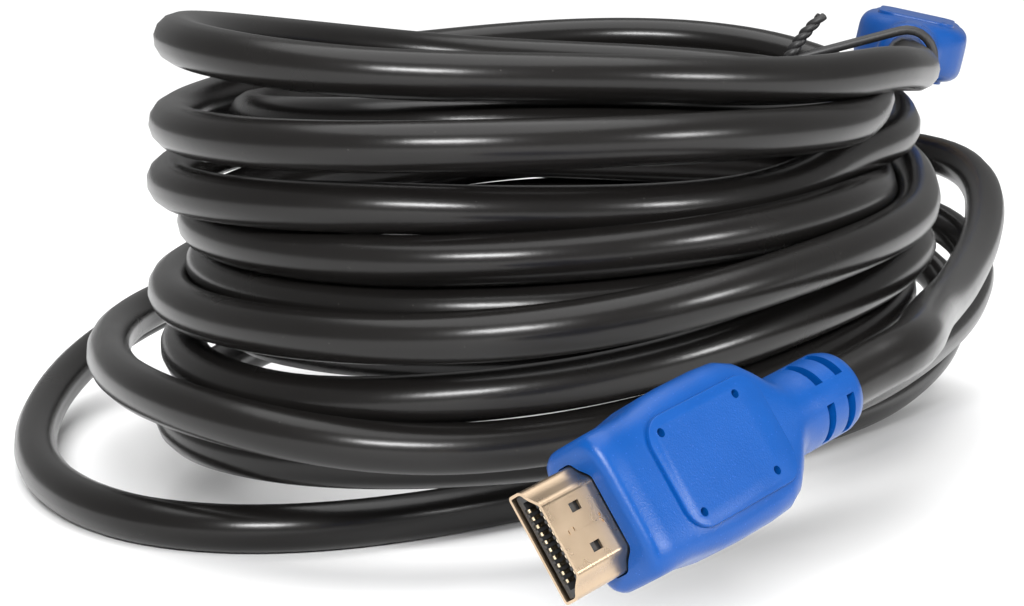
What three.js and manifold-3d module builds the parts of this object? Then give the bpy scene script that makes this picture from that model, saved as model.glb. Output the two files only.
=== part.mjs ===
// A long audio and video cable, wound by hand into a tall loose coil that stands on the floor.
// Its front plug sticks out of the coil on a stiff lead, a wide loop of cable lies on the floor,
// and the second plug ends the top turn at the back, where a thin tie holds it.
// Millimetres, +Z up, the viewer's side is -Y. The origin is on the floor under the middle of the box.
import * as THREE from "three";
import { mergeVertices } from "three/addons/utils/BufferGeometryUtils.js";
import Module from "manifold-3d";

const wasm = await Module();
wasm.setup();

// Driving dimensions
const cableDiameter = 7.3;
const clearance = 0.3;

const shellWidth = 13.9;
const shellHeight = 4.45;
const shellSideHeight = 2.25;
const shellFlatWidth = 9.2;
const shellShoulderInset = 1.05;
const shellShoulderHeight = 2.95;
const shellWall = 0.35;
const shellLength = 8.8;
const shellSeatDepth = 3.5;
const latchWidth = 0.95;
const latchLength = 1.4;
const latchSpacing = 5.1;
const latchFromMouth = 4.5;

const insulatorSetback = 0.5;
const slotHeight = 1.7;
const slotWidth = 11.2;
const slotFlatWidth = 8.9;
const slotSideHeight = 0.85;
const slotDepth = 6.6;

const contactPitch = 1.0;
const contactWidth = 0.45;
const contactThickness = 0.2;
const contactLength = 5.4;
const contactSetback = 0.6;
const wideRowCount = 10;
const narrowRowCount = 9;
const contactBaseLength = 0.6;

const bodyFrontWidth = 18.6;
const bodyWidth = 20.8;
const bodyThickness = 11;
const bodyLength = 33;
const bodyEdge = 1.9;
const flareLength = 12;
const flareMiddle = 6;
const flareStart = 4;
const shoulderLength = 9;
const shoulderEase = 3.5;
const neckEase = 3;
const neckDiameter = 11.4;
const reliefDiameter = 11;
const reliefLength = 13.4;
const reliefEdge = 1.2;
const reliefGrooveWidth = 1.5;
const reliefGrooveDepth = 1.5;
const reliefGrooveFromTail = 3.4;
const reliefGrooveSpacing = 4.2;
const reliefGrooveAngle = 58;
const panelLength = 21;
const panelWidth = 14.6;
const panelCorner = 3.2;
const panelHeight = 0.3;
const panelFromFront = 7.5;
const pinHoleDiameter = 1.1;
const pinHoleDepth = 1.1;
const pinHoleSpacingX = 10.6;
const pinHoleSpacingZ = 13;

const layerBulge = [4, 4, 3, 1.5, 0.5, 0, 0, 0, 0];
const layerPitch = 6.75;
const strandsAcross = 2;
const coilHalfWidth = 53;
const coilHalfLength = 75;
const coilTurn = -36.9;
const coilCentre = new THREE.Vector2(2, 16);

const tieThickness = 1.7;

// Colours of the materials
const jacketBlack = new THREE.MeshStandardMaterial({ color: 0x141415, roughness: 0.32, metalness: 0 });
const plugBlue = new THREE.MeshStandardMaterial({ color: 0x0f5bd3, roughness: 0.5, metalness: 0 });
const shellGold = new THREE.MeshStandardMaterial({ color: 0xd8b27e, roughness: 0.22, metalness: 1 });
const insulatorBlack = new THREE.MeshStandardMaterial({ color: 0x17171a, roughness: 0.6, metalness: 0 });
const contactGold = new THREE.MeshStandardMaterial({ color: 0xe0c48a, roughness: 0.25, metalness: 1 });
const tieBlack = new THREE.MeshStandardMaterial({ color: 0x1c1c1e, roughness: 0.55, metalness: 0 });

// Booleans
function toSolid(geometry) {
  const plain = geometry.index ? geometry.toNonIndexed() : geometry.clone();
  plain.deleteAttribute("normal");
  plain.deleteAttribute("uv");
  const merged = mergeVertices(plain, 1e-4);
  const vertProperties = new Float32Array(merged.attributes.position.array);
  const triVerts = new Uint32Array(merged.index.array);
  return new wasm.Manifold(new wasm.Mesh({ numProp: 3, vertProperties, triVerts }));
}

function toGeometry(solid) {
  const mesh = solid.getMesh();
  const geometry = new THREE.BufferGeometry();
  geometry.setAttribute("position", new THREE.BufferAttribute(new Float32Array(mesh.vertProperties), 3));
  geometry.setIndex(new THREE.BufferAttribute(new Uint32Array(mesh.triVerts), 1));
  geometry.computeVertexNormals();
  return geometry;
}

function named(name, geometry, material) {
  const mesh = new THREE.Mesh(geometry, material);
  mesh.name = name;
  return mesh;
}

function polygon(corners) {
  return new THREE.Shape(corners.map(([x, y]) => new THREE.Vector2(x, y)));
}

function box(width, height, depth, x, y, z) {
  return new THREE.BoxGeometry(width, height, depth).translate(x, y, z);
}

// The shell's outline, grown or shrunk all round: y is 0 on its wide side.
function shellOutline(grow) {
  const half = shellWidth / 2 + grow;
  const shoulder = shellWidth / 2 - shellShoulderInset + grow * 0.8;
  const flat = shellFlatWidth / 2 + grow * 0.7;
  return [
    [-half, -grow],
    [half, -grow],
    [half, shellSideHeight + grow * 0.3],
    [shoulder, shellShoulderHeight + grow * 0.5],
    [flat, shellHeight + grow],
    [-flat, shellHeight + grow],
    [-shoulder, shellShoulderHeight + grow * 0.5],
    [-half, shellSideHeight + grow * 0.3],
  ];
}

function extruded(corners, from, to) {
  const geometry = new THREE.ExtrudeGeometry(polygon(corners), { depth: to - from, bevelEnabled: false });
  return geometry.translate(0, 0, from);
}

// In a plug's own frame x is its width, y its thickness and z runs from the mouth to the tail.
const middleY = shellHeight / 2;
const bodyFrontZ = shellLength;
const tailZ = bodyFrontZ + bodyLength + reliefLength;

function plugShell() {
  const endZ = bodyFrontZ + shellSeatDepth;
  let shell = toSolid(extruded(shellOutline(0), 0, endZ));
  shell = shell.subtract(toSolid(extruded(shellOutline(-shellWall), -1, endZ + 1)));
  for (const side of [-1, 1]) {
    const latch = box(latchWidth, 2, latchLength, (side * latchSpacing) / 2, shellHeight, latchFromMouth);
    shell = shell.subtract(toSolid(latch));
  }
  return toGeometry(shell);
}

const slotLow = middleY - slotHeight / 2;
const slotHigh = middleY + slotHeight / 2;
const slotEndZ = insulatorSetback + slotDepth;

function plugInsulator() {
  const outline = shellOutline(-shellWall - clearance);
  const solid = toSolid(extruded(outline, insulatorSetback, bodyFrontZ + shellSeatDepth));
  const slot = [
    [-slotWidth / 2, slotLow],
    [slotWidth / 2, slotLow],
    [slotWidth / 2, slotLow + slotSideHeight],
    [slotFlatWidth / 2, slotHigh],
    [-slotFlatWidth / 2, slotHigh],
    [-slotWidth / 2, slotLow + slotSideHeight],
  ];
  return toGeometry(solid.subtract(toSolid(extruded(slot, -1, slotEndZ))));
}

function plugContacts(count, onWideSide) {
  const offset = clearance + contactThickness / 2;
  const y = onWideSide ? slotLow + offset : slotHigh - offset;
  const startZ = insulatorSetback + contactSetback;
  const endZ = startZ + contactLength;
  const rowWidth = (count - 1) * contactPitch + contactWidth;
  const baseZ = endZ - contactBaseLength / 2;
  let comb = toSolid(box(rowWidth, contactThickness, contactBaseLength, 0, y, baseZ));
  for (let i = 0; i < count; i++) {
    const x = (i - (count - 1) / 2) * contactPitch;
    comb = comb.add(toSolid(box(contactWidth, contactThickness, contactLength, x, y, (startZ + endZ) / 2)));
  }
  return toGeometry(comb);
}

function bodyOutline() {
  const front = bodyFrontWidth / 2;
  const half = bodyWidth / 2;
  const neck = neckDiameter / 2;
  const shape = new THREE.Shape();
  shape.moveTo(-front, 0);
  shape.lineTo(front, 0);
  shape.bezierCurveTo(front, flareStart, half, flareMiddle, half, flareLength);
  shape.lineTo(half, bodyLength - shoulderLength);
  shape.bezierCurveTo(half, bodyLength - shoulderEase, neck, bodyLength - neckEase, neck, bodyLength);
  shape.lineTo(-neck, bodyLength);
  shape.bezierCurveTo(-neck, bodyLength - neckEase, -half, bodyLength - shoulderEase, -half, bodyLength - shoulderLength);
  shape.lineTo(-half, flareLength);
  shape.bezierCurveTo(-half, flareMiddle, -front, flareStart, -front, 0);
  return shape;
}

function roundedRectangle(width, length, corner) {
  const shape = new THREE.Shape();
  const x = width / 2 - corner;
  const y = length / 2 - corner;
  shape.absarc(x, -y, corner, -Math.PI / 2, 0);
  shape.absarc(x, y, corner, 0, Math.PI / 2);
  shape.absarc(-x, y, corner, Math.PI / 2, Math.PI);
  shape.absarc(-x, -y, corner, Math.PI, (3 * Math.PI) / 2);
  return shape;
}

function reliefGroove(middleAngle, z) {
  const inner = reliefDiameter / 2 - reliefGrooveDepth;
  const outer = reliefDiameter;
  const half = THREE.MathUtils.degToRad(reliefGrooveAngle / 2);
  const shape = new THREE.Shape();
  shape.absarc(0, 0, outer, middleAngle - half, middleAngle + half, false);
  shape.absarc(0, 0, inner, middleAngle + half, middleAngle - half, true);
  const options = { depth: reliefGrooveWidth, bevelEnabled: false, curveSegments: 6 };
  return new THREE.ExtrudeGeometry(shape, options).translate(0, middleY, z - reliefGrooveWidth / 2);
}

function plugHousing() {
  const bodyOptions = {
    depth: bodyThickness - 2 * bodyEdge,
    bevelThickness: bodyEdge,
    bevelSize: bodyEdge,
    bevelOffset: -bodyEdge,
    bevelSegments: 3,
    curveSegments: 5,
  };
  const slab = new THREE.ExtrudeGeometry(bodyOutline(), bodyOptions);
  slab.translate(0, 0, bodyEdge - bodyThickness / 2).rotateX(Math.PI / 2).translate(0, middleY, bodyFrontZ);

  const radius = reliefDiameter / 2;
  const startZ = bodyFrontZ + bodyLength - shoulderLength;
  const profile = [
    [0, startZ],
    [neckDiameter / 2, startZ],
    [neckDiameter / 2, bodyFrontZ + bodyLength + 1],
    [radius, bodyFrontZ + bodyLength + 2.5],
    [radius, tailZ - reliefEdge],
    [radius - reliefEdge * 0.3, tailZ - reliefEdge * 0.3],
    [radius - reliefEdge, tailZ],
    [0, tailZ],
  ].map(([r, z]) => new THREE.Vector2(r, z));
  const relief = new THREE.LatheGeometry(profile, 24).rotateX(Math.PI / 2).translate(0, middleY, 0);

  let housing = toSolid(slab).add(toSolid(relief));
  housing = housing.subtract(
    toSolid(extruded(shellOutline(clearance), bodyFrontZ - 1, bodyFrontZ + shellSeatDepth + clearance)),
  );

  const rings = [tailZ - reliefGrooveFromTail, tailZ - reliefGrooveFromTail - reliefGrooveSpacing];
  for (const z of rings) {
    for (let quarter = 0; quarter < 4; quarter++) {
      const middleAngle = Math.PI / 4 + (quarter * Math.PI) / 2;
      housing = housing.subtract(toSolid(reliefGroove(middleAngle, z)));
    }
  }

  const panel = roundedRectangle(panelWidth, panelLength, panelCorner);
  const panelZ = bodyFrontZ + panelFromFront + panelLength / 2;
  for (const side of [-1, 1]) {
    const face = middleY + (side * bodyThickness) / 2;
    const plate = new THREE.ExtrudeGeometry(panel, { depth: 2 * panelHeight, bevelEnabled: false, curveSegments: 4 });
    plate.translate(0, 0, -panelHeight).rotateX(Math.PI / 2).translate(0, face, panelZ);
    housing = housing.add(toSolid(plate));
    for (const sideX of [-1, 1]) {
      for (const sideZ of [-1, 1]) {
        const pin = new THREE.CylinderGeometry(pinHoleDiameter / 2, pinHoleDiameter / 2, 2 * pinHoleDepth, 10);
        pin.translate((sideX * pinHoleSpacingX) / 2, face, panelZ + (sideZ * pinHoleSpacingZ) / 2);
        housing = housing.subtract(toSolid(pin));
      }
    }
  }
  return toGeometry(housing);
}

function plug(prefix) {
  const group = new THREE.Group();
  group.add(named(prefix + "_housing", plugHousing(), plugBlue));
  group.add(named(prefix + "_shell", plugShell(), shellGold));
  group.add(named(prefix + "_insulator", plugInsulator(), insulatorBlack));
  group.add(named(prefix + "_contacts_wide_row", plugContacts(wideRowCount, true), contactGold));
  group.add(named(prefix + "_contacts_narrow_row", plugContacts(narrowRowCount, false), contactGold));
  return group;
}

// Stands a plug with its tail at a place: tailward is its axis, faceward the way its narrow side looks.
function placed(group, tail, tailward, faceward) {
  const z = tailward.clone().normalize();
  const x = new THREE.Vector3().crossVectors(faceward, z).normalize();
  const y = new THREE.Vector3().crossVectors(z, x);
  group.setRotationFromMatrix(new THREE.Matrix4().makeBasis(x, y, z));
  group.position.copy(tail).addScaledVector(z, -tailZ).addScaledVector(y, -middleY);
  return group;
}

// A round bar of straight-sided section along a smooth curve through points chosen by hand.
function bar(points, steps, diameter, sides) {
  const curve = new THREE.CatmullRomCurve3(points.map(([x, y, z]) => new THREE.Vector3(x, y, z)));
  const corners = [];
  for (let i = 0; i < sides; i++) {
    const angle = (2 * Math.PI * i) / sides;
    corners.push([(diameter / 2) * Math.cos(angle), (diameter / 2) * Math.sin(angle)]);
  }
  return new THREE.ExtrudeGeometry(polygon(corners), { steps, extrudePath: curve, bevelEnabled: false });
}

const cableSides = 10;
function cable(points, steps) {
  return toSolid(bar(points, steps, cableDiameter, cableSides));
}

// The coil of stacked turns as one turned solid with its bore: each strand shows as a rib.
const valleyAngle = Math.PI / 4;

function coilProfile(grow) {
  const radius = cableDiameter / 2;
  const topLayer = layerBulge.length - 1;
  const points = [];
  const rib = (column, layer, from, to) => {
    const outward = [column === 0 ? 1 : -1, layer === topLayer ? 1 : layer === 0 ? -1 : 0];
    const middleR = coilHalfWidth + layerBulge[layer] - column * cableDiameter + grow * outward[0];
    const middleZ = radius + layer * layerPitch + grow * outward[1];
    for (let angle = from; angle < to + valleyAngle / 2; angle += valleyAngle) {
      points.push(new THREE.Vector2(middleR + radius * Math.cos(angle), middleZ + radius * Math.sin(angle)));
    }
  };
  const innermost = strandsAcross - 1;
  rib(0, 0, -3 * valleyAngle, valleyAngle);
  for (let layer = 1; layer < topLayer; layer++) rib(0, layer, -valleyAngle, valleyAngle);
  rib(0, topLayer, -valleyAngle, 3 * valleyAngle);
  rib(innermost, topLayer, valleyAngle, 5 * valleyAngle);
  for (let layer = topLayer - 1; layer > 0; layer--) rib(innermost, layer, 3 * valleyAngle, 5 * valleyAngle);
  rib(innermost, 0, 3 * valleyAngle, 7 * valleyAngle);
  points.push(points[0].clone());
  return points;
}

const coilSegments = 36;
function coil(grow) {
  const ring = new THREE.LatheGeometry(coilProfile(grow), coilSegments).rotateX(Math.PI / 2);
  const strandOut = cableDiameter / 2;
  ring.scale(1, (coilHalfLength + strandOut) / (coilHalfWidth + strandOut), 1);
  ring.rotateZ(THREE.MathUtils.degToRad(coilTurn));
  return ring.translate(coilCentre.x, coilCentre.y, 0);
}

// Where the cable isn't in the coil, its route is chosen by hand.
const floorLevel = cableDiameter / 2;

const frontPlugTail = new THREE.Vector3(36.1, -79.8, 33.3);
const frontPlugAxis = new THREE.Vector3(0.67, 0.718, 0.188).normalize();
const frontPlugFace = new THREE.Vector3(0.567, -0.659, 0.494);

const rearPlugTail = new THREE.Vector3(67, 63, 68.2);
const rearPlugAxis = new THREE.Vector3(-0.18, -0.98, -0.01).normalize();
const rearPlugFace = new THREE.Vector3(0.2, -0.05, 0.98);

function afterTail(tail, axis, distance) {
  return tail.clone().addScaledVector(axis, distance).toArray();
}

const frontLeadRoute = [
  afterTail(frontPlugTail, frontPlugAxis, clearance),
  afterTail(frontPlugTail, frontPlugAxis, 2 * cableDiameter),
  [55, -39, 35.5],
  [59.5, -15, 33],
  [67, 8, 32],
  [73, 31, 33],
  [80, 53, 34.5],
  [84.5, 73, 38.5],
  [88, 91, 43],
  [86, 104, 46.5],
  [76, 112, 48],
  [58, 112, 46.5],
  [35, 108, 43],
  [0, 103, 37],
  [-36, 102, 29],
  [-62, 101, 21],
  [-77, 97, 16],
  [-85, 82, 11.5],
  [-88.5, 63, 8.5],
  [-89, 42, 6],
  [-87, 21, 4.4],
  [-82, 2, floorLevel],
  [-75, -14, floorLevel],
  [-67, -27, floorLevel],
  [-58, -35, floorLevel],
  [-49, -38, floorLevel],
  [-40, -38, floorLevel],
  [-32, -36, floorLevel],
];

const rightLoopLowRoute = [
  [50, 42, floorLevel],
  [59, 54, floorLevel],
  [70, 72, 4.5],
  [80, 88, 9],
  [87, 102, 16],
  [86, 112, 23],
  [76, 116, 28],
  [58, 112, 29],
  [42, 97, 28.5],
  [34, 74, 28],
];

const rightLoopHighRoute = [
  [48.4, 0, 16.5],
  [59.4, 20, 17.5],
  [68, 38, 18.3],
  [76, 55, 19.4],
  [84, 76, 23.5],
  [88, 93, 28],
  [86, 106, 32.5],
  [74, 112, 36.5],
  [56, 110, 37.5],
  [40, 95, 36.5],
  [32, 74, 35],
];

const leftLoopRoute = [
  [-22, 62, 18],
  [-40, 70, 20],
  [-58, 62, 22],
  [-72, 47, 23],
  [-74.5, 32, 22.6],
  [-68, -3, 22.4],
  [-56, -33, 22.2],
  [-44, -50, 22],
  [-30, -56, 22],
  [-14, -52, 22],
];

const topTurnRoute = [
  [36, 74, 58],
  [20, 80, 64.6],
  [-5, 79, 67.4],
  [-30, 72, 70],
  [-47, 52, 72.5],
  [-56, 26, 74.5],
  [-59, 0, 75],
  [-54.5, -25, 74.2],
  [-42, -42.6, 72.6],
  [-25.6, -49, 71.3],
  [9, -42, 70],
  [38, -22, 69],
  [58, 8, 68],
  [65, 43, 67.7],
  afterTail(rearPlugTail, rearPlugAxis, cableDiameter),
  afterTail(rearPlugTail, rearPlugAxis, clearance),
];

const secondTurnRoute = [
  [58.5, 34, 57],
  [58, 44, 65.6],
  [56.5, 54, 68.2],
  [55, 67, 68.6],
  [50, 83, 68.8],
  [39, 90, 70],
  [24, 93, 70.4],
  [5, 92, 69.6],
  [-12, 89, 68],
  [-30, 83, 66],
  [-46, 66, 64],
  [-55, 45, 62.6],
  [-56, 28, 61],
  [-53, 15, 59],
];

const tieRoute = [
  [53.3, 54, 72],
  [51.4, 54, 68.3],
  [52.9, 54, 64],
  [57.5, 54, 62.35],
  [66, 54, 62.2],
  [71.5, 54, 62.6],
  [74, 54, 65],
  [72.8, 54, 68.9],
  [70, 54, 71.9],
  [66, 54, 73],
  [60, 54, 73.2],
  [54.6, 54, 73],
];
const tieEndRoute = [
  [53.3, 54, 72],
  [53.4, 54.4, 75],
  [54.4, 54, 78],
];

function twistTie() {
  const knot = new THREE.SphereGeometry(tieThickness * 0.8, 10, 8).translate(...tieEndRoute[0]);
  const loop = toSolid(bar(tieRoute, 24, tieThickness, 8));
  const end = toSolid(bar(tieEndRoute, 4, tieThickness, 8));
  return toGeometry(loop.add(toSolid(knot)).add(end));
}

const coilSolid = toSolid(coil(0));
const coilSpace = toSolid(coil(2 * clearance));

// A stretch of cable ends where it runs into the coil.
function cableBesideCoil(name, route, steps) {
  const outside = cable(route, steps).subtract(coilSpace).decompose();
  outside.sort((a, b) => b.volume() - a.volume());
  return named(name, toGeometry(outside[0]), jacketBlack);
}

const assembly = new THREE.Group();
assembly.add(named("cable_coil", toGeometry(coilSolid), jacketBlack));
assembly.add(cableBesideCoil("front_lead_and_floor_loop", frontLeadRoute, 26));
assembly.add(cableBesideCoil("right_loop_low", rightLoopLowRoute, 10));
assembly.add(cableBesideCoil("right_loop_high", rightLoopHighRoute, 9));
assembly.add(cableBesideCoil("left_loop", leftLoopRoute, 7));
assembly.add(cableBesideCoil("top_turn", topTurnRoute, 20));
assembly.add(cableBesideCoil("second_turn", secondTurnRoute, 9));
assembly.add(named("twist_tie", twistTie(), tieBlack));
assembly.add(placed(plug("front_plug"), frontPlugTail, frontPlugAxis, frontPlugFace));
assembly.add(placed(plug("rear_plug"), rearPlugTail, rearPlugAxis, rearPlugFace));

// Brings the middle of the whole box over the origin.
const boxMiddle = new THREE.Vector2(-0.5, -1.15);
assembly.position.set(-boxMiddle.x, -boxMiddle.y, 0);
const hdmiCable = new THREE.Group();
hdmiCable.add(assembly);

export default hdmiCable;
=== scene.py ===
import math

import bmesh
import bpy
import numpy as np
from mathutils import Matrix, Vector


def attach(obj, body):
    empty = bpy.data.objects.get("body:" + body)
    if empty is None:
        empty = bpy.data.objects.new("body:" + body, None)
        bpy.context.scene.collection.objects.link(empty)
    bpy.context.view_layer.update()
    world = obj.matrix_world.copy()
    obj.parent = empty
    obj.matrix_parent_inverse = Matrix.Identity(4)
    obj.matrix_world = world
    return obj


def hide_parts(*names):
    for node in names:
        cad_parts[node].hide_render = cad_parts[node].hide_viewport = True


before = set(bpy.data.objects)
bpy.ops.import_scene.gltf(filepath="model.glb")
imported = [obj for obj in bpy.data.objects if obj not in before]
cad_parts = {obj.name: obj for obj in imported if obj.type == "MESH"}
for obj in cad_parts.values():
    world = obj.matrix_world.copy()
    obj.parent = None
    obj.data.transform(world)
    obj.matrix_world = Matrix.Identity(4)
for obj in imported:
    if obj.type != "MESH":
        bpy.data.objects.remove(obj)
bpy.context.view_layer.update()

print("frame loaded")

# everything below is in metres; part.mjs moves its assembly back by this much to centre the box
standingShift = np.array([0.0005, 0.00115, 0.0])


# camera

photoView = {
    "place": (-0.0045, -0.39385, 0.094),
    "tiltDown": 8.91,  # degrees
    "focalPixels": 2500.0,
    "imageWidth": 1024.0,
    "sensor": 36.0,
}


def placeCamera(view):
    data = bpy.data.cameras.new("photoCamera")
    data.sensor_width = view["sensor"]
    data.lens = view["focalPixels"] * view["sensor"] / view["imageWidth"]
    data.clip_start = 0.01
    camera = bpy.data.objects.new("photoCamera", data)
    camera.location = view["place"]
    camera.rotation_euler = (math.radians(90 - view["tiltDown"]), 0, 0)
    bpy.context.scene.collection.objects.link(camera)
    bpy.context.scene.camera = camera


placeCamera(photoView)
print("camera placed")


# cable

cable = {
    "diameter": 0.0073,
    "length": 5.0,
    "spacing": 0.004,      # between the points of the finished line
    "quarterSteps": 5,     # points per quarter turn of the coil
    "curveSteps": 12,      # between two knots, before the line is cut into even steps
    "roundness": 5,        # bevel resolution of the tube
}

settling = {
    "rounds": 160,
    "neighbours": 4,       # diameters along the line within which two points aren't compared
    "heldEnd": 0.03,       # at each end, where the cable enters its plug
    "clearance": 1.01,     # diameters between two strands
    "pushShare": 0.5,
    "smoothRounds": 2,
    "bendShare": 0.1,
    "fineStep": 0.75,      # of the spacing, for the finished line
}

# where each plug's tail is, which way its cable leaves and its panel faces, and how far
# beyond the tail the cable still runs straight
plugPlaces = {
    "front": {
        "cableAt": [0.0003, 0.008, 0.0165],
        "tail": (0.0361, -0.0798, 0.0333),
        "tailward": (0.67, 0.718, 0.188),
        "faceward": (0.567, -0.659, 0.494),
    },
    "rear": {
        "cableAt": [0.0100, 0.0050, 0.0003],
        "tail": (0.0670, 0.0630, 0.0682),
        "tailward": (-0.18, -0.98, -0.01),
        "faceward": (0.2, -0.05, 0.98),
    },
}

# the stretch from the front plug round the back, down along the floor and up to the coil,
# point by point, many of them as in part.mjs
looseRoute = [
    (0.0550, -0.0390, 0.0355),
    (0.0595, -0.0150, 0.0330),
    (0.0670, 0.0080, 0.0320),
    (0.0730, 0.0310, 0.0330),
    (0.0800, 0.0530, 0.0345),
    (0.0845, 0.0730, 0.0385),
    (0.0880, 0.0910, 0.0430),
    (0.0860, 0.1040, 0.0465),
    (0.0760, 0.1120, 0.0480),
    (0.0580, 0.1120, 0.0465),
    (0.0350, 0.1080, 0.0430),
    (0.0000, 0.1030, 0.0370),
    (-0.0360, 0.1020, 0.0290),
    (-0.0620, 0.1010, 0.0210),
    (-0.0770, 0.0970, 0.0160),
    (-0.0850, 0.0820, 0.0115),
    (-0.0885, 0.0630, 0.0085),
    (-0.0890, 0.0420, 0.0060),
    (-0.0870, 0.0210, 0.0044),
    (-0.0820, 0.0020, 0.00365),
    (-0.0750, -0.0140, 0.00365),
    (-0.0670, -0.0270, 0.00365),
    (-0.0580, -0.0350, 0.00365),
    (-0.0490, -0.0380, 0.00365),
    (-0.0400, -0.0380, 0.00365),
    (-0.0320, -0.0360, 0.00365),
    (-0.0230, -0.0300, 0.00365),
    (-0.0120, -0.0220, 0.00365),
    (0.0030, -0.0100, 0.00365),
    (0.0160, 0.0050, 0.00365),
    (0.0340, 0.0240, 0.00365),
    (0.0500, 0.0420, 0.00365),
    (0.0590, 0.0540, 0.00365),
    (0.0700, 0.0720, 0.0045),
    (0.0800, 0.0880, 0.0090),
    (0.0870, 0.1020, 0.0160),
    (0.0860, 0.1120, 0.0230),
    (0.0760, 0.1160, 0.0280),
    (0.0580, 0.1120, 0.0290),
    (0.0360, 0.1020, 0.0275),
    (0.0000, 0.0940, 0.0240),
    (-0.0340, 0.0760, 0.0190),
    (-0.0560, 0.0360, 0.0160),
]

# where each turn of the coil is furthest left, front, right and back, from the lowest turn up;
# frontRise and backRise are how steeply it climbs as it passes the front and leaves the right,
# and rightBulge lists the points of a turn that swings out on the right instead; the second turn
# and those from the fourth on, all but the eighth, have their left, front and frontRise, and five
# of them their right, from a fit of quarter ellipses to the strands in the photograph
coilTurns = [
    {"left": (-0.0600, 0.0000, 0.0150), "front": (-0.0280, -0.0450, 0.0150), "right": None,
     "rightBulge": [(0.0080, -0.0360, 0.0155), (0.0484, 0.0000, 0.0165), (0.0594, 0.0200, 0.0175),
                    (0.0680, 0.0380, 0.0183), (0.0760, 0.0550, 0.0194), (0.0840, 0.0760, 0.0235),
                    (0.0880, 0.0930, 0.0280), (0.0860, 0.1060, 0.0325), (0.0740, 0.1120, 0.0365),
                    (0.0560, 0.1100, 0.0375), (0.0300, 0.1000, 0.0360)],
     "back": (-0.0050, 0.0900, 0.0320), "frontRise": 0.0},
    {"left": (-0.0743, 0.0430, 0.0222), "front": (-0.0289, -0.0605, 0.0218),
     "right": (0.0612, 0.0280, 0.0345), "back": (0.0050, 0.0880, 0.0320), "frontRise": -0.0137},
    {"left": (-0.0500, 0.0050, 0.0300), "front": (-0.0150, -0.0455, 0.0312),
     "right": (0.0500, 0.0360, 0.0360), "back": (0.0050, 0.0780, 0.0350), "frontRise": 0.0},
    {"left": (-0.0585, -0.0001, 0.0272), "front": (-0.0183, -0.0577, 0.0257),
     "right": (0.0618, 0.0368, 0.0440), "back": (0.0050, 0.0880, 0.0405), "frontRise": 0.0057},
    {"left": (-0.0583, 0.0035, 0.0373), "front": (-0.0056, -0.0649, 0.0372),
     "right": (0.0615, 0.0481, 0.0497), "back": (0.0050, 0.0880, 0.0470), "frontRise": 0.0090},
    {"left": (-0.0560, -0.0005, 0.0388), "front": (-0.0087, -0.0545, 0.0398),
     "right": (0.0613, 0.0432, 0.0451), "back": (0.0050, 0.0860, 0.0470), "frontRise": 0.0033},
    {"left": (-0.0555, -0.0031, 0.0456), "front": (-0.0096, -0.0558, 0.0457),
     "right": (0.0605, 0.0379, 0.0492), "back": (0.0050, 0.0870, 0.0540), "frontRise": 0.0029},
    {"left": (-0.0480, 0.0060, 0.0620), "front": (-0.0120, -0.0455, 0.0650),
     "right": (0.0500, 0.0350, 0.0600), "back": (0.0050, 0.0790, 0.0580), "frontRise": 0.0},
    {"left": (-0.0604, 0.0003, 0.0526), "front": (-0.0228, -0.0527, 0.0531),
     "right": (0.0635, 0.0497, 0.0568), "back": (0.0200, 0.0920, 0.0706),
     "frontRise": -0.0010, "backRise": 0.030},
    {"left": (-0.0598, 0.0015, 0.0617), "front": (-0.0181, -0.0574, 0.0623),
     "right": (0.0570, 0.0283, 0.0614), "back": (0.0100, 0.0790, 0.0660), "frontRise": 0.0029},
    {"left": (-0.0589, -0.0005, 0.0751), "front": (-0.0256, -0.0491, 0.0713),
     "right": (0.0655, 0.0429, 0.0674), "back": None, "frontRise": -0.0053},
]


def eased(u):
    return u * u * (3 - 2 * u)


def quarterTurn(start, end, fromSide, startRise, endRise, steps):
    # a quarter of an ellipse in plan, its height eased between the two ends
    points = []
    for i in range(steps):
        u = i / steps
        turn = u * math.pi / 2
        across, along = (1 - math.cos(turn)), math.sin(turn)
        if fromSide:
            x = start[0] + (end[0] - start[0]) * across
            y = start[1] + (end[1] - start[1]) * along
        else:
            x = start[0] + (end[0] - start[0]) * along
            y = start[1] + (end[1] - start[1]) * across
        z = start[2] + (end[2] - start[2]) * eased(u)
        z += startRise * (u**3 - 2 * u**2 + u) + endRise * (u**3 - u**2)
        points.append((x, y, z))
    return points


def coilPoints(turns, steps):
    points = []
    for turn, following in zip(turns, turns[1:] + [None]):
        backRise = turn.get("backRise", 0.0)
        points += quarterTurn(turn["left"], turn["front"], True, 0.0, turn["frontRise"], steps)
        if turn["right"] is None:
            points += [turn["front"]] + turn["rightBulge"]
        else:
            points += quarterTurn(turn["front"], turn["right"], False, turn["frontRise"], backRise, steps)
        if following is None:
            points.append(turn["right"])
            continue
        if turn["right"] is not None:
            points += quarterTurn(turn["right"], turn["back"], True, backRise, 0.0, steps)
        points += quarterTurn(turn["back"], following["left"], False, 0.0, 0.0, steps)
    return points


def unit(vector):
    vector = np.array(vector, dtype=float)
    return vector / np.linalg.norm(vector)


def besidePlug(place):
    tail = np.array(place["tail"])
    return [tuple(tail + unit(place["tailward"]) * distance) for distance in place["cableAt"]]


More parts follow.
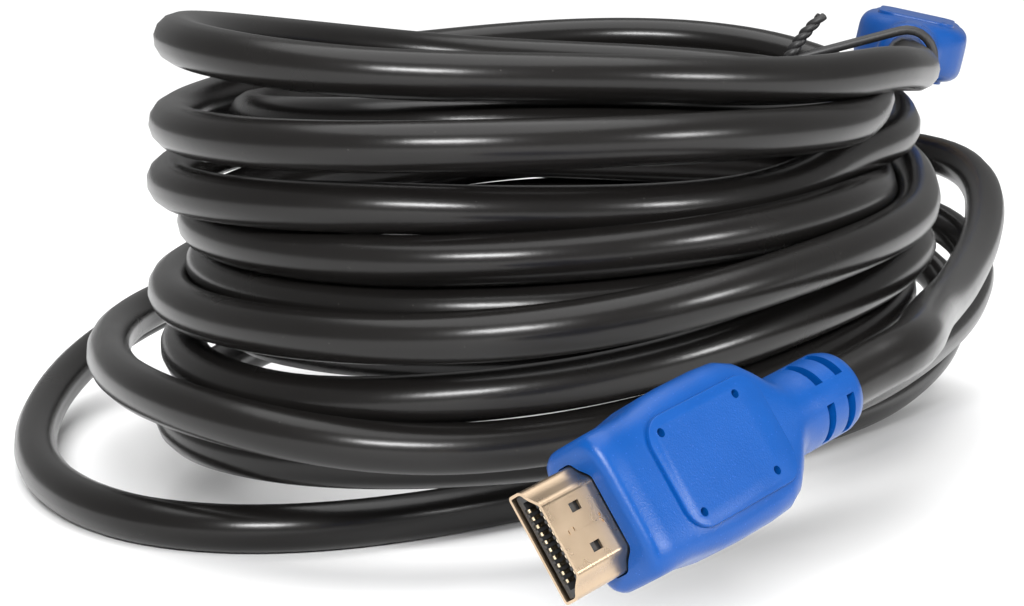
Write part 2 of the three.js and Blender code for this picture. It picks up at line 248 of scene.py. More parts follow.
def smoothLine(knots, cable):
    # a centripetal spline through the knots, cut into even steps
    knots = np.array(knots, dtype=float)
    knots = np.vstack([2 * knots[0] - knots[1], knots, 2 * knots[-1] - knots[-2]])
    line = []
    for a, b, c, d in zip(knots, knots[1:], knots[2:], knots[3:]):
        ta = 0.0
        tb = ta + math.sqrt(np.linalg.norm(b - a))
        tc = tb + math.sqrt(np.linalg.norm(c - b))
        td = tc + math.sqrt(np.linalg.norm(d - c))
        for t in np.linspace(tb, tc, cable["curveSteps"], endpoint=False):
            ab = (tb - t) / (tb - ta) * a + (t - ta) / (tb - ta) * b
            bc = (tc - t) / (tc - tb) * b + (t - tb) / (tc - tb) * c
            cd = (td - t) / (td - tc) * c + (t - tc) / (td - tc) * d
            abc = (tc - t) / (tc - ta) * ab + (t - ta) / (tc - ta) * bc
            bcd = (td - t) / (td - tb) * bc + (t - tb) / (td - tb) * cd
            line.append((tc - t) / (tc - tb) * abc + (t - tb) / (tc - tb) * bcd)
    line.append(knots[-2])
    return evenLine(np.array(line), cable["spacing"])


def evenLine(line, spacing):
    travelled = np.concatenate([[0], np.cumsum(np.linalg.norm(np.diff(line, axis=0), axis=1))])
    count = max(2, round(travelled[-1] / spacing) + 1)
    wanted = np.linspace(0, travelled[-1], count)
    return np.stack([np.interp(wanted, travelled, line[:, axis]) for axis in range(3)], axis=1)


def settled(line, cable, settling):
    # stretches that run into each other are pushed a diameter apart, and nothing sinks below the floor
    line = line.copy()
    count = len(line)
    index = np.arange(count)
    between = np.abs(index[:, None] - index[None, :]) * cable["spacing"]
    apart = between > settling["neighbours"] * cable["diameter"]
    held = np.ones(count)
    ends = round(settling["heldEnd"] / cable["spacing"])
    held[:ends] = 0
    held[-ends:] = 0
    for _ in range(settling["rounds"]):
        offset = line[:, None, :] - line[None, :, :]
        distance = np.sqrt((offset**2).sum(axis=2)) + 1e-9
        missing = np.clip(cable["diameter"] * settling["clearance"] - distance, 0, None)
        overlap = np.where(apart, missing, 0)
        push = (offset / distance[:, :, None] * overlap[:, :, None]).sum(axis=1)
        touching = np.maximum((overlap > 0).sum(axis=1), 1)
        push *= (settling["pushShare"] / touching * held)[:, None]
        for _ in range(settling["smoothRounds"]):
            push[1:-1] = 0.5 * push[1:-1] + 0.25 * (push[2:] + push[:-2])
        line += push
        bend = np.zeros_like(line)
        bend[1:-1] = 0.5 * (line[2:] + line[:-2]) - line[1:-1]
        line += settling["bendShare"] * bend * held[:, None]
        line[:, 2] = np.maximum(line[:, 2], cable["diameter"] / 2)
    print(f"cable settled, deepest overlap {overlap.max() * 1000:.2f} mm")
    return line


def makeCable(cable):
    knots = besidePlug(plugPlaces["front"])
    knots += looseRoute
    knots += coilPoints(coilTurns, cable["quarterSteps"])
    knots += besidePlug(plugPlaces["rear"])
    line = settled(smoothLine(knots, cable), cable, settling)
    line = evenLine(line, cable["spacing"] * settling["fineStep"]) + standingShift
    curve = bpy.data.curves.new("cable", "CURVE")
    curve.dimensions = "3D"
    spline = curve.splines.new("POLY")
    spline.points.add(len(line) - 1)
    for point, place in zip(spline.points, line):
        point.co = (*place, 1.0)
    spline.use_smooth = True
    curve.bevel_depth = cable["diameter"] / 2
    curve.bevel_resolution = cable["roundness"]
    curve.use_fill_caps = True
    obj = bpy.data.objects.new("cable", curve)
    bpy.context.scene.collection.objects.link(obj)
    measured = np.linalg.norm(np.diff(line, axis=0), axis=1).sum()
    print(f"cable made, {measured:.3f} m long, {len(line)} points")
    return obj, line


cableObject, cableLine = makeCable(cable)


# materials, with the effects that several of them share as node groups

def effectGroup(name, inputs, outputs):
    group = bpy.data.node_groups.new(name, "ShaderNodeTree")
    for label, value in inputs:
        socket = group.interface.new_socket(label, in_out="INPUT", socket_type="NodeSocketFloat")
        socket.default_value = value
    for label, kind in outputs:
        group.interface.new_socket(label, in_out="OUTPUT", socket_type=kind)
    return group, group.nodes.new("NodeGroupInput"), group.nodes.new("NodeGroupOutput")


def speckleGroup():
    # fine mould grain and slow blotches, both on object coordinates
    group, given, result = effectGroup(
        "mouldGrain",
        [("Grain Scale", 4000.0), ("Blotch Scale", 60.0)],
        [("Grain", "NodeSocketFloat"), ("Blotch", "NodeSocketFloat")],
    )
    nodes, links = group.nodes, group.links
    place = nodes.new("ShaderNodeTexCoord")
    for label, scale, detail in (("Grain", "Grain Scale", 2.0), ("Blotch", "Blotch Scale", 4.0)):
        noise = nodes.new("ShaderNodeTexNoise")
        noise.inputs["Detail"].default_value = detail
        links.new(place.outputs["Object"], noise.inputs["Vector"])
        links.new(given.outputs[scale], noise.inputs["Scale"])
        links.new(noise.outputs["Fac"], result.inputs[label])
    return group


def dustGroup():
    # sparse pale specks, as lint and scuffs on plastic
    group, given, result = effectGroup(
        "dustSpecks", [("Scale", 900.0), ("Amount", 0.1)], [("Dust", "NodeSocketFloat")]
    )
    nodes, links = group.nodes, group.links
    place = nodes.new("ShaderNodeTexCoord")
    cells = nodes.new("ShaderNodeTexVoronoi")
    links.new(place.outputs["Object"], cells.inputs["Vector"])
    links.new(given.outputs["Scale"], cells.inputs["Scale"])
    near = nodes.new("ShaderNodeMath")
    near.operation = "LESS_THAN"
    links.new(cells.outputs["Distance"], near.inputs[0])
    links.new(given.outputs["Amount"], near.inputs[1])
    links.new(near.outputs[0], result.inputs["Dust"])
    return group


mouldGrain = speckleGroup()
dustSpecks = dustGroup()


def finishedMaterial(name, look):
    # two close colours over the blotches, roughness and bump from the grain, and dust on top
    material = bpy.data.materials.new(name)
    material.use_nodes = True
    nodes, links = material.node_tree.nodes, material.node_tree.links
    shader = nodes["Principled BSDF"]
    shader.inputs["Metallic"].default_value = look.get("metallic", 0.0)
    shader.inputs["Specular IOR Level"].default_value = look.get("specular", 0.5)
    grain = nodes.new("ShaderNodeGroup")
    grain.node_tree = mouldGrain
    grain.inputs["Grain Scale"].default_value = look["grainScale"]
    grain.inputs["Blotch Scale"].default_value = look["blotchScale"]
    dust = nodes.new("ShaderNodeGroup")
    dust.node_tree = dustSpecks
    dust.inputs["Scale"].default_value = look.get("dustScale", 900.0)
    dust.inputs["Amount"].default_value = look.get("dustAmount", 0.08)
    colours = nodes.new("ShaderNodeMix")
    colours.data_type = "RGBA"
    colours.inputs["A"].default_value = look["colour"]
    colours.inputs["B"].default_value = look["secondColour"]
    links.new(grain.outputs["Blotch"], colours.inputs["Factor"])
    dusted = nodes.new("ShaderNodeMix")
    dusted.data_type = "RGBA"
    dusted.inputs["B"].default_value = look["dustColour"]
    links.new(colours.outputs["Result"], dusted.inputs["A"])
    links.new(dust.outputs["Dust"], dusted.inputs["Factor"])
    links.new(dusted.outputs["Result"], shader.inputs["Base Color"])
    rough = nodes.new("ShaderNodeMapRange")
    rough.inputs["To Min"].default_value = look["roughness"][0]
    rough.inputs["To Max"].default_value = look["roughness"][1]
    links.new(grain.outputs["Blotch"], rough.inputs["Value"])
    links.new(rough.outputs["Result"], shader.inputs["Roughness"])
    bump = nodes.new("ShaderNodeBump")
    bump.inputs["Strength"].default_value = look["bump"]
    bump.inputs["Distance"].default_value = look["bumpDepth"]
    links.new(grain.outputs["Grain"], bump.inputs["Height"])
    links.new(bump.outputs["Normal"], shader.inputs["Normal"])
    return material


jacketLook = {
    "colour": (0.0048, 0.0044, 0.0042, 1),
    "secondColour": (0.009, 0.0083, 0.0078, 1),
    "dustColour": (0.05, 0.047, 0.044, 1),
    "roughness": (0.2, 0.31),
    "specular": 0.3,
    "grainScale": 900.0,
    "blotchScale": 45.0,
    "dustScale": 420.0,
    "dustAmount": 0.035,
    "bump": 0.06,
    "bumpDepth": 0.0002,
}
housingLook = {
    "colour": (0.0, 0.046, 0.21, 1),
    "secondColour": (0.0, 0.058, 0.26, 1),
    "dustColour": (0.03, 0.1, 0.42, 1),
    "roughness": (0.28, 0.4),
    "specular": 0.3,
    "grainScale": 4400.0,
    "blotchScale": 160.0,
    "dustScale": 1500.0,
    "dustAmount": 0.09,
    "bump": 0.42,
    "bumpDepth": 0.00006,
}
shellLook = {
    "colour": (0.43, 0.32, 0.215, 1),
    "secondColour": (0.52, 0.4, 0.285, 1),
    "dustColour": (0.68, 0.56, 0.43, 1),
    "roughness": (0.22, 0.34),
    "metallic": 1.0,
    "grainScale": 3200.0,
    "blotchScale": 220.0,
    "dustScale": 1600.0,
    "dustAmount": 0.03,
    "bump": 0.12,
    "bumpDepth": 0.00005,
}
insulatorLook = {
    "colour": (0.012, 0.012, 0.013, 1),
    "secondColour": (0.02, 0.02, 0.021, 1),
    "dustColour": (0.05, 0.05, 0.05, 1),
    "roughness": (0.4, 0.55),
    "grainScale": 3000.0,
    "blotchScale": 200.0,
    "bump": 0.2,
    "bumpDepth": 0.00005,
}
contactLook = {
    "colour": (0.80, 0.66, 0.45, 1),
    "secondColour": (0.86, 0.76, 0.6, 1),
    "dustColour": (0.9, 0.86, 0.8, 1),
    "roughness": (0.18, 0.3),
    "metallic": 1.0,
    "grainScale": 3000.0,
    "blotchScale": 300.0,
    "bump": 0.05,
    "bumpDepth": 0.00005,
}
tieLook = {
    "colour": (0.012, 0.012, 0.013, 1),
    "secondColour": (0.02, 0.019, 0.019, 1),
    "dustColour": (0.06, 0.058, 0.055, 1),
    "roughness": (0.42, 0.55),
    "grainScale": 1800.0,
    "blotchScale": 120.0,
    "bump": 0.25,
    "bumpDepth": 0.0001,
}
jacketMaterial = finishedMaterial("cableJacket", jacketLook)
housingMaterial = finishedMaterial("blueHousing", housingLook)
shellMaterial = finishedMaterial("paleGoldShell", shellLook)
insulatorMaterial = finishedMaterial("blackInsulator", insulatorLook)
contactMaterial = finishedMaterial("contactPlating", contactLook)
tieMaterial = finishedMaterial("tieCoating", tieLook)
cableObject.data.materials.append(jacketMaterial)
print("materials made")


# plugs, modelled in their own frame: x across, y through the thickness, z from the mouth to the tail

shellHeight = 0.00445

plugSizes = {
    "length": 0.0552,
    "middle": shellHeight / 2,     # where the plug's axis runs
    "shellLength": 0.0088,
    "shellSeat": 0.0035,           # how far the housing takes the shell in
    "bodyThickness": 0.011,
    "ringSegments": 72,
}
# one ring each: place along the plug, half width, half thickness, squareness
housingRings = [
    (0.00880, 0.0076, 0.0040, 5.0),
    (0.00890, 0.0083, 0.0046, 5.0),
    (0.00930, 0.0089, 0.0051, 5.0),
    (0.01000, 0.0093, 0.0054, 5.0),
    (0.01250, 0.0094, 0.0054, 5.0),
    (0.01550, 0.0094, 0.0052, 5.0),
    (0.01800, 0.0097, 0.0053, 5.0),
    (0.02100, 0.0102, 0.0055, 5.0),
    (0.02500, 0.0104, 0.0055, 5.0),
    (0.03100, 0.0104, 0.0055, 5.0),
    (0.03450, 0.0102, 0.0055, 4.6),
    (0.03700, 0.0093, 0.0055, 4.0),
    (0.03900, 0.0078, 0.0055, 3.2),
    (0.04060, 0.0064, 0.0055, 2.5),
    (0.04180, 0.0057, 0.0055, 2.1),
    (0.04320, 0.0054, 0.0054, 2.0),
    (0.04500, 0.0055, 0.0055, 2.0),
    (0.05350, 0.0055, 0.0055, 2.0),
    (0.05460, 0.0052, 0.0052, 2.0),
    (0.05500, 0.0048, 0.0048, 2.0),
    (0.05520, 0.0043, 0.0043, 2.0),
]
reliefSlots = {"places": (0.0476, 0.0518), "length": 0.0015, "depth": 0.0013, "angle": 60.0, "radius": 0.0055}
panel = {
    "width": 0.0146,
    "length": 0.021,
    "corner": 0.0034,
    "height": 0.0003,
    "edge": 0.0002,
    "front": 0.0163,
}
pinHoles = {"radius": 0.00058, "depth": 0.0011, "across": 0.0105, "along": 0.0142, "shift": -0.0010}
shellOutline = {
    "corners": [
        (-0.00695, 0.0),
        (0.00695, 0.0),
        (0.00695, 0.00225),
        (0.0059, 0.00295),
        (0.0046, shellHeight),
        (-0.0046, shellHeight),
        (-0.0059, 0.00295),
        (-0.00695, 0.00225),
    ],
    "rounding": 0.0005,
    "wall": 0.00035,
    "endGap": 0.0002,      # between the shell's hidden end and the bottom of its seat
}
shellSeat = {"widthShare": 1.03, "heightShare": 1.08, "front": 0.008}
latches = {"width": 0.00115, "height": 0.002, "length": 0.0016, "across": 0.0051, "fromMouth": 0.0045}
seam = {
    "width": 0.00013,
    "depth": 0.0003,
    "to": 0.0072,
    "hookFrom": 0.0018,
    "hookTo": 0.0027,
    "hookAcross": 0.0005,
    "crimpWidth": 0.0004,
    "crimpLength": 0.0003,
    "crimpAcross": 0.0004,
}
insulatorShape = {"widthShare": 0.935, "heightShare": 0.72, "rounding": 0.0002, "behindShell": 0.003}
mouth = {
    "setback": 0.0005,
    "slotWidth": 0.0112,
    "slotLow": 0.001375,
    "slotHigh": 0.003075,
    "slotDepth": 0.0066,
}
contacts = {
    "pitch": 0.001,
    "width": 0.00048,
    "height": 0.00034,     # of the tip that turns outwards
    "thickness": 0.00015,
    "length": 0.0052,
    "lift": 0.00002,
    "tipSetback": 0.0003,
    "edge": 0.00003,
    "wideRow": 10,
    "narrowRow": 9,
}
notches = {"widthShare": 1.3, "heightShare": 2.2, "length": 0.003}
housingSharpAngle = 34     # degrees


def plugMatrix(place):
    z = Vector(place["tailward"]).normalized()
    x = Vector(place["faceward"]).cross(z).normalized()
    y = z.cross(x)
    origin = Vector(place["tail"]) - z * plugSizes["length"] - y * plugSizes["middle"]
    origin += Vector(standingShift)
    matrix = Matrix((x, y, z)).transposed().to_4x4()
    matrix.translation = origin
    return matrix


def objectFrom(bm, name, material, smooth=True):
    mesh = bpy.data.meshes.new(name)
    bm.to_mesh(mesh)
    bm.free()
    if smooth:
        mesh.shade_smooth()
    obj = bpy.data.objects.new(name, mesh)
    bpy.context.scene.collection.objects.link(obj)
    if material:
        mesh.materials.append(material)
    return obj


def withModifiers(obj):
    # bakes an object's modifiers into its mesh
    graph = bpy.context.evaluated_depsgraph_get()
    mesh = bpy.data.meshes.new_from_object(obj.evaluated_get(graph))
    obj.modifiers.clear()
    obj.data = mesh
    return obj


def cut(obj, cutter, operation="DIFFERENCE", crossed=False):
    boolean = obj.modifiers.new("cut", "BOOLEAN")
    boolean.operation = operation
    boolean.use_self = crossed
    boolean.solver = "EXACT"
    boolean.object = cutter
    withModifiers(obj)
    bpy.data.objects.remove(cutter, do_unlink=True)


def block(bm, size, place):
    made = bmesh.ops.create_cube(bm, size=1.0)["verts"]
    bmesh.ops.scale(bm, vec=size, verts=made)
    bmesh.ops.translate(bm, vec=place, verts=made)


def outlineSlab(corners, rounding, low, high):
    # a flat outline with its corners rounded, drawn out along the plug
    bm = bmesh.new()
    ring = [bm.verts.new((x, y, low)) for x, y in corners]
    bm.faces.new(ring)
    bmesh.ops.bevel(bm, geom=ring, offset=rounding, affect="VERTICES", segments=4, profile=0.5, material=-1)
    face = bm.faces[:][0]
    grown = bmesh.ops.extrude_face_region(bm, geom=[face])["geom"]
    moved = [v for v in grown if isinstance(v, bmesh.types.BMVert)]
    bmesh.ops.translate(bm, vec=(0, 0, high - low), verts=moved)
    bmesh.ops.recalc_face_normals(bm, faces=bm.faces)
    return bm


def loftedHousing(rings, middle):
    bm = bmesh.new()
    turnLayer = bm.verts.layers.float.new("turn")
    segments = plugSizes["ringSegments"]
    start = bmesh.ops.create_circle(bm, segments=segments, radius=1.0, cap_ends=False)["verts"]
    for vertex in start:
        vertex[turnLayer] = math.atan2(vertex.co.y, vertex.co.x)

    def shapeRing(verts, ring):
        along, halfWidth, halfThickness, square = ring
        for vertex in verts:
            c, s = math.cos(vertex[turnLayer]), math.sin(vertex[turnLayer])
            vertex.co.x = halfWidth * math.copysign(abs(c) ** (2 / square), c)
            vertex.co.y = middle + halfThickness * math.copysign(abs(s) ** (2 / square), s)
            vertex.co.z = along

    shapeRing(start, rings[0])
    edges = bm.edges[:]
    firstEdges = edges
    for ring in rings[1:]:
        grown = bmesh.ops.extrude_edge_only(bm, edges=edges)["geom"]
        shapeRing([g for g in grown if isinstance(g, bmesh.types.BMVert)], ring)
        edges = [g for g in grown if isinstance(g, bmesh.types.BMEdge)]
    bmesh.ops.contextual_create(bm, geom=firstEdges)
    bmesh.ops.contextual_create(bm, geom=edges)
    bmesh.ops.recalc_face_normals(bm, faces=bm.faces)
    return bm


def reliefSlotCutter(slots, middle):
    # short arcs of a square section, four to a ring
    bm = bmesh.new()
    for along in slots["places"]:
        for quarter in range(4):
            inner = slots["radius"] - slots["depth"]
            outer = slots["radius"] * 1.4
            low, high = along - slots["length"] / 2, along + slots["length"] / 2
            corners = [(inner, low), (outer, low), (outer, high), (inner, high)]
            ring = [bm.verts.new((r, 0, z)) for r, z in corners]
            face = bm.faces.new(ring)
            first = math.radians(45 + 90 * quarter - slots["angle"] / 2)
            bmesh.ops.rotate(bm, cent=(0, 0, 0), matrix=Matrix.Rotation(first, 3, "Z"), verts=ring)
            sweep = math.radians(slots["angle"])
            bmesh.ops.spin(bm, geom=[face], cent=(0, 0, 0), axis=(0, 0, 1), angle=sweep, steps=8,
                           use_duplicate=False)
    bmesh.ops.translate(bm, vec=(0, middle, 0), verts=bm.verts)
    bmesh.ops.remove_doubles(bm, verts=bm.verts, dist=1e-7)
    bmesh.ops.recalc_face_normals(bm, faces=bm.faces)
    return objectFrom(bm, "reliefSlotCutter", None, smooth=False)


def panelPlate(panel, middle, side):
    bm = bmesh.new()
    faceY = middle + side * plugSizes["bodyThickness"] / 2
    block(bm, (panel["width"], 2 * panel["height"], panel["length"]),
          (0, faceY, panel["front"] + panel["length"] / 2))
    upright = [e for e in bm.edges if abs(e.verts[0].co.y - e.verts[1].co.y) > panel["height"]]
    bmesh.ops.bevel(bm, geom=upright, offset=panel["corner"], affect="EDGES", segments=8, profile=0.5,
                    material=-1)
    rims = []
    for edge in bm.edges:
        flatness = [abs(face.normal.y) for face in edge.link_faces]
        raised = all((vertex.co.y - faceY) * side > 0 for vertex in edge.verts)
        if raised and len(flatness) == 2 and min(flatness) < 0.5 < max(flatness):
            rims.append(edge)
    bmesh.ops.bevel(bm, geom=rims, offset=panel["edge"], affect="EDGES", segments=2, profile=0.5, material=-1)
    return objectFrom(bm, "panelPlate", None, smooth=False)


def pinHoleCutter(holes, panel, middle):
    bm = bmesh.new()
    centreZ = panel["front"] + panel["length"] / 2 + holes["shift"]
    for side in (-1, 1):
        faceY = middle + side * (plugSizes["bodyThickness"] / 2 + panel["height"])
        for sideX in (-1, 1):
            for sideZ in (-1, 1):
                made = bmesh.ops.create_cone(bm, cap_ends=True, segments=20, radius1=holes["radius"],
                                             radius2=holes["radius"], depth=2 * holes["depth"])["verts"]
                bmesh.ops.rotate(bm, cent=(0, 0, 0), matrix=Matrix.Rotation(math.pi / 2, 3, "X"), verts=made)
                bmesh.ops.translate(bm, verts=made, vec=(sideX * holes["across"] / 2, faceY,
                                                         centreZ + sideZ * holes["along"] / 2))
    return objectFrom(bm, "pinHoleCutter", None, smooth=False)


def scaledOutline(widthShare, heightShare):
    middle = plugSizes["middle"]
    return [(x * widthShare, middle + (y - middle) * heightShare) for x, y in shellOutline["corners"]]


def makeHousing(name):
    middle = plugSizes["middle"]
    housing = objectFrom(loftedHousing(housingRings, middle), name, housingMaterial)
    for side in (-1, 1):
        cut(housing, panelPlate(panel, middle, side), "UNION")
    cut(housing, reliefSlotCutter(reliefSlots, middle))
    cut(housing, pinHoleCutter(pinHoles, panel, middle))
    grown = scaledOutline(shellSeat["widthShare"], shellSeat["heightShare"])
    seatEnd = plugSizes["shellLength"] + plugSizes["shellSeat"]
    seat = outlineSlab(grown, shellOutline["rounding"], shellSeat["front"], seatEnd)
    cut(housing, objectFrom(seat, "shellSeat", None, smooth=False))
    return housing


def makeShell(name):
    end = plugSizes["shellLength"] + plugSizes["shellSeat"] - shellOutline["endGap"]
    bm = outlineSlab(shellOutline["corners"], shellOutline["rounding"], 0.0, end)
    bmesh.ops.delete(bm, geom=[face for face in bm.faces if abs(face.normal.z) > 0.9], context="FACES_ONLY")
    outside = objectFrom(bm, name, shellMaterial)
    solid = outside.modifiers.new("wall", "SOLIDIFY")
    solid.thickness = shellOutline["wall"]
    solid.offset = -1.0
    solid.use_even_offset = True
    withModifiers(outside)
    holes = bmesh.new()
    for y in (0.0, shellHeight):
        for side in (-1, 1):
            block(holes, (latches["width"], latches["height"], latches["length"]),
                  (side * latches["across"] / 2, y, latches["fromMouth"]))
    cut(outside, objectFrom(holes, "latchHoles", None, smooth=False))
    line = bmesh.new()
    width, deep, hook = seam["width"], seam["depth"], seam["hookAcross"]
    block(line, (width, deep, seam["hookFrom"]), (0, shellHeight, seam["hookFrom"] / 2))
    middleHook = (seam["hookFrom"] + seam["hookTo"]) / 2
    block(line, (width, deep, seam["hookTo"] - seam["hookFrom"]), (hook, shellHeight, middleHook))
    for z in (seam["hookFrom"], seam["hookTo"]):
        block(line, (hook + width, deep, width), (hook / 2, shellHeight, z))
    middleTail = (seam["hookTo"] + seam["to"]) / 2
    block(line, (width, deep, seam["to"] - seam["hookTo"]), (0, shellHeight, middleTail))
    for side in (-1, 1):
        block(line, (seam["crimpWidth"], deep, seam["crimpLength"]),
              (side * seam["crimpAcross"], shellHeight, seam["to"]))
    cut(outside, objectFrom(line, "seamCutter", None, smooth=False), crossed=True)
    return outside


def makeInsulator(name):
    inset = scaledOutline(insulatorShape["widthShare"], insulatorShape["heightShare"])
    end = plugSizes["shellLength"] + insulatorShape["behindShell"]
    body = outlineSlab(inset, insulatorShape["rounding"], mouth["setback"], end)
    insulator = objectFrom(body, name, insulatorMaterial, smooth=False)
    slot = bmesh.new()
    height = mouth["slotHigh"] - mouth["slotLow"]
    block(slot, (mouth["slotWidth"], height, 2 * mouth["slotDepth"]),
          (0, mouth["slotLow"] + height / 2, mouth["setback"]))
    cut(insulator, objectFrom(slot, "slotCutter", None, smooth=False))
    cutter = bmesh.new()
    size = (
        contacts["width"] * notches["widthShare"],
        contacts["height"] * notches["heightShare"],
        notches["length"],
    )
    for count, y in ((contacts["wideRow"], mouth["slotLow"]), (contacts["narrowRow"], mouth["slotHigh"])):
        for i in range(count):
            x = (i - (count - 1) / 2) * contacts["pitch"]
            block(cutter, size, (x, y, mouth["setback"]))
    cut(insulator, objectFrom(cutter, "notchCutter", None, smooth=False))
    return insulator


def makeContacts(name, count, onWideSide):
    # each strip lies in its notch and turns its tip outwards at the mouth
    bm = bmesh.new()
    y = mouth["slotLow"] if onWideSide else mouth["slotHigh"]
    outward = -1 if onWideSide else 1
    tip = mouth["setback"] + contacts["tipSetback"]
    thickness = contacts["thickness"]
    for i in range(count):
        x = (i - (count - 1) / 2) * contacts["pitch"]
        block(bm, (contacts["width"], thickness, contacts["length"]),
              (x, y - outward * contacts["lift"], tip + contacts["length"] / 2))
        block(bm, (contacts["width"], contacts["height"], thickness),
              (x, y + outward * contacts["height"] / 2, tip))
    bmesh.ops.bevel(bm, geom=bm.edges[:], offset=contacts["edge"], affect="EDGES", segments=1, profile=0.5,
                    material=-1)
    return objectFrom(bm, name, contactMaterial, smooth=False)


def settleOnPlug(obj, matrix, slot, node):
    obj.data.transform(matrix)
    obj.data.shade_flat()
    if slot == "housing":
        obj.data.shade_smooth()
        obj.data.set_sharp_from_angle(angle=math.radians(housingSharpAngle))
    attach(obj, "root")
    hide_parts(node)
    return obj


for end, place in plugPlaces.items():
    matrix = plugMatrix(place)
    made = [
        (makeHousing(end + "PlugHousing"), "housing", end + "_plug_housing"),
        (makeShell(end + "PlugShell"), "shell", end + "_plug_shell"),
        (makeInsulator(end + "PlugInsulator"), "insulator", end + "_plug_insulator"),
        (makeContacts(end + "PlugWideRow", contacts["wideRow"], True), "contacts",
         end + "_plug_contacts_wide_row"),
        (makeContacts(end + "PlugNarrowRow", contacts["narrowRow"], False), "contacts",
         end + "_plug_contacts_narrow_row"),
    ]
    for obj, slot, node in made:
        settleOnPlug(obj, matrix, slot, node)
    print(f"{end} plug made")


# tie

tie = {
    "thickness": 0.0017,
    "slack": 0.0004,
    "plane": 0.0551,
    "fromX": 0.045,            # strands are looked for to the right of this and above fromZ
    "fromZ": 0.0585,
    "roundPoints": 24,
    "twistPoints": 40,
    "twistTurns": 3.0,
    "twistHeight": 0.0085,
    "twistLean": 0.0058,
    "twistLeanPower": 1.6,
    "twistStrand": 0.0014,
    "twistRadiusShare": 0.45,
    "twistTaper": 0.4,
}


def tieLoop(line, tie):
    # the loop goes round the two highest of the strands that cross its plane at the top right
    crossings = []
    for a, b in zip(line, line[1:]):
        crosses = (a[1] - tie["plane"]) * (b[1] - tie["plane"]) <= 0
        if crosses and b[0] > tie["fromX"] and b[2] > tie["fromZ"]:
            crossings.append((a + b) / 2)
    crossings.sort(key=lambda point: -point[2])
    reach = cable["diameter"] / 2 + tie["thickness"] / 2 + tie["slack"]
    around = []
    for point in crossings[:2]:
        for i in range(tie["roundPoints"]):
            turn = 2 * math.pi * i / tie["roundPoints"]
            around.append((point[0] + reach * math.cos(turn), point[2] + reach * math.sin(turn)))
    print("tie holds strands at", [tuple(round(float(v), 4) for v in point) for point in crossings])
    bm = bmesh.new()
    dots = [bm.verts.new((x, tie["plane"], z)) for x, z in around]
    bmesh.ops.convex_hull(bm, input=dots)
    hull = [(v.co.x, v.co.z) for v in bm.verts if v.link_edges]
    bm.free()
    centreX = sum(x for x, z in hull) / len(hull)
    centreZ = sum(z for x, z in hull) / len(hull)
    hull.sort(key=lambda p: math.atan2(p[1] - centreZ, p[0] - centreX))
    return [np.array((x, tie["plane"], z)) for x, z in hull]


def tubePiece(name, strands, thickness, material, closed):
    curve = bpy.data.curves.new(name, "CURVE")
    curve.dimensions = "3D"
    curve.bevel_depth = thickness / 2
    curve.bevel_resolution = 3
    curve.use_fill_caps = True
    for points, isClosed in zip(strands, closed):
        spline = curve.splines.new("POLY")
        spline.points.add(len(points) - 1)
        for point, place in zip(spline.points, points):
            point.co = (*place, 1.0)
        spline.use_cyclic_u = isClosed
        spline.use_smooth = True
    curve.materials.append(material)
    obj = bpy.data.objects.new(name, curve)
    bpy.context.scene.collection.objects.link(obj)
    return obj


def makeTie(line, tie):
    loop = tieLoop(line, tie)
    knot = min(loop, key=lambda point: point[0] - 1.2 * point[2])
    thin = tie["twistStrand"]
    twists = []
    for phase in (0, math.pi):
        strand = []
        for i in range(tie["twistPoints"]):
            share = i / (tie["twistPoints"] - 1)
            turn = phase + share * tie["twistTurns"] * 2 * math.pi
            radius = thin * tie["twistRadiusShare"] * (1 - tie["twistTaper"] * share)
            lean = tie["twistLean"] * share ** tie["twistLeanPower"]
            offset = (radius * math.cos(turn) + lean, radius * math.sin(turn), share * tie["twistHeight"])
            strand.append(knot + np.array(offset))
        twists.append(strand)
    flat = tubePiece("twistTieLoop", [loop], tie["thickness"], tieMaterial, [True])
    end = tubePiece("twistTieEnd", twists, thin, tieMaterial, [False, False])
    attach(flat, "root")
    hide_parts("twist_tie")
    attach(end, "root")


makeTie(cableLine, tie)
print("tie made")


# floor and light

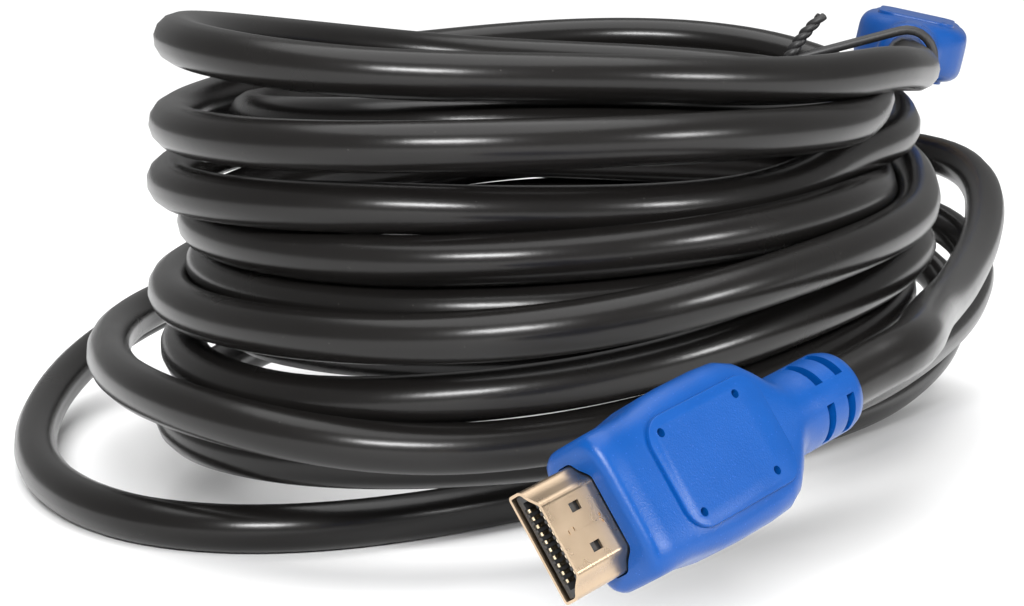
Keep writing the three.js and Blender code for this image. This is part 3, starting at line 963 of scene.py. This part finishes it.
studio = {
    "floorSize": 6.0,
    "floorColour": (0.95, 0.95, 0.95, 1),
    "worldColour": (1.0, 1.0, 1.0, 1),
    "worldStrength": 0.35,
    "overheadStrength": 2.7,
    "overheadAngle": 70.0,      # degrees, the apparent size of the soft light overhead
    "overheadPlace": (0, 0, 1.5),
    "aim": (0, 0, 0.04),        # where the softboxes point
}
softboxes = {
    "softboxFront": {"place": (-0.06, -0.95, 0.52), "size": (0.42, 0.16), "power": 13},
    "softboxRight": {"place": (0.85, -0.36, 0.34), "size": (0.16, 0.14), "power": 4},
}


def makeStudio(studio):
    bm = bmesh.new()
    bmesh.ops.create_grid(bm, x_segments=1, y_segments=1, size=studio["floorSize"] / 2)
    floorMaterial = bpy.data.materials.new("paleFloor")
    floorMaterial.use_nodes = True
    shader = floorMaterial.node_tree.nodes["Principled BSDF"]
    shader.inputs["Base Color"].default_value = studio["floorColour"]
    shader.inputs["Roughness"].default_value = 0.7
    floor = objectFrom(bm, "studioFloor", floorMaterial, smooth=False)
    world = bpy.data.worlds.new("studioWorld")
    world.use_nodes = True
    background = world.node_tree.nodes["Background"]
    background.inputs["Color"].default_value = studio["worldColour"]
    background.inputs["Strength"].default_value = studio["worldStrength"]
    bpy.context.scene.world = world
    bpy.context.scene.view_settings.view_transform = "Standard"


def overheadLight(studio):
    data = bpy.data.lights.new("overheadSoft", "SUN")
    data.energy = studio["overheadStrength"]
    data.angle = math.radians(studio["overheadAngle"])
    light = bpy.data.objects.new("overheadSoft", data)
    light.location = studio["overheadPlace"]
    bpy.context.scene.collection.objects.link(light)


def areaLight(name, box, studio):
    data = bpy.data.lights.new(name, "AREA")
    data.shape = "RECTANGLE"
    data.size, data.size_y = box["size"]
    data.energy = box["power"]
    light = bpy.data.objects.new(name, data)
    light.location = box["place"]
    toAim = Vector(studio["aim"]) - Vector(box["place"])
    light.rotation_euler = toAim.to_track_quat("-Z", "Y").to_euler()
    bpy.context.scene.collection.objects.link(light)


makeStudio(studio)
overheadLight(studio)
for name, box in softboxes.items():
    areaLight(name, box, studio)
print("studio lit")


jacketNodes = [
    "cable_coil",
    "front_lead_and_floor_loop",
    "right_loop_low",
    "right_loop_high",
    "left_loop",
    "top_turn",
    "second_turn",
]
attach(cableObject, "root")
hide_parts(*jacketNodes)
